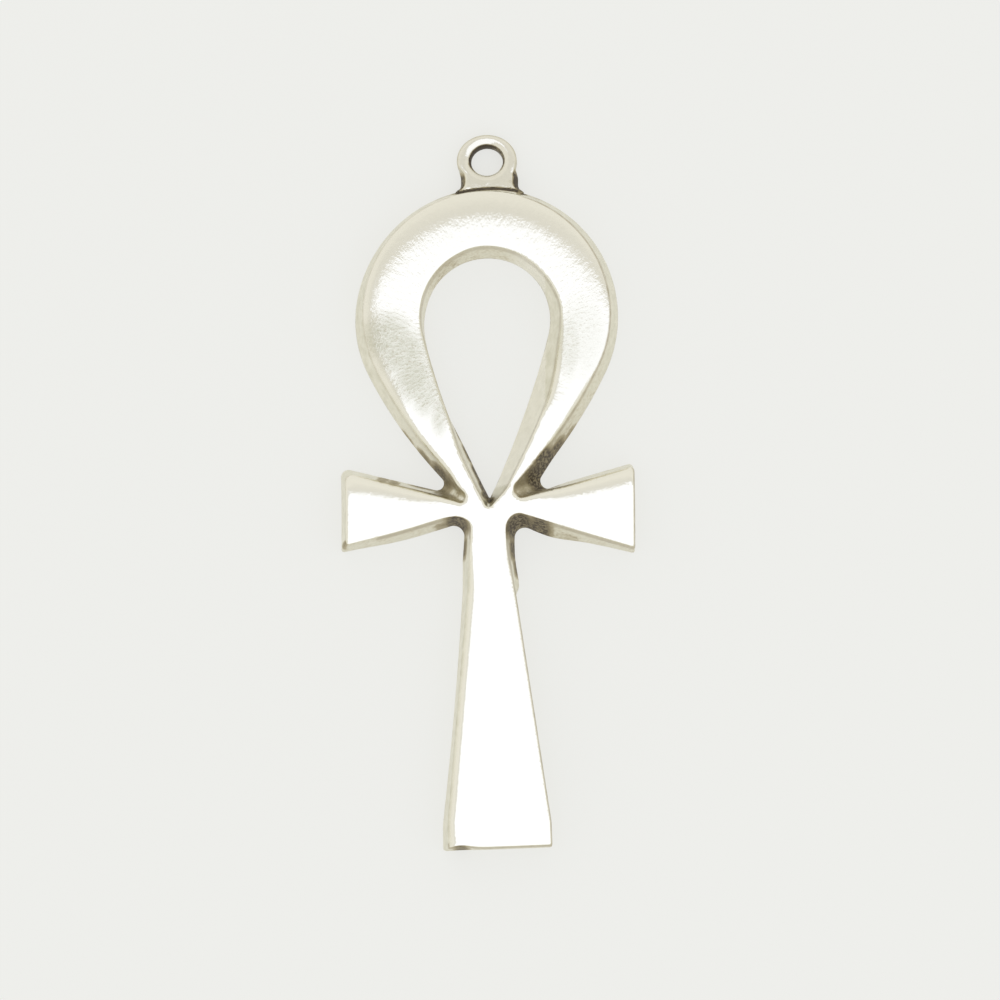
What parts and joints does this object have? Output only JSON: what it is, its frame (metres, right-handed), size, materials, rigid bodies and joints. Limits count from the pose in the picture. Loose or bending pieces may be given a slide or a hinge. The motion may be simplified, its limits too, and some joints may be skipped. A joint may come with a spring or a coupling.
{
  "type": "ankh pendant",
  "caption": "Cast metal ankh pendant: a teardrop loop over flared arms and a flared stem, with a flat back and a small drilled eyelet at the top of the loop.",
  "frame": {"origin": "middle of the bounding box at the flat back, which lies on the surface", "axes": "+X to the right arm, +Y from the foot of the stem to the eyelet, +Z out of the face"},
  "size_m": [0.017, 0.0408, 0.0022],
  "materials": {
    "antiqued_silver": "bright polished silver plate on a hand-finished casting, oxidised black in the inner corners"
  },
  "bodies": {
    "root": {"ankh": "antiqued_silver"}
  },
  "joints": []
}
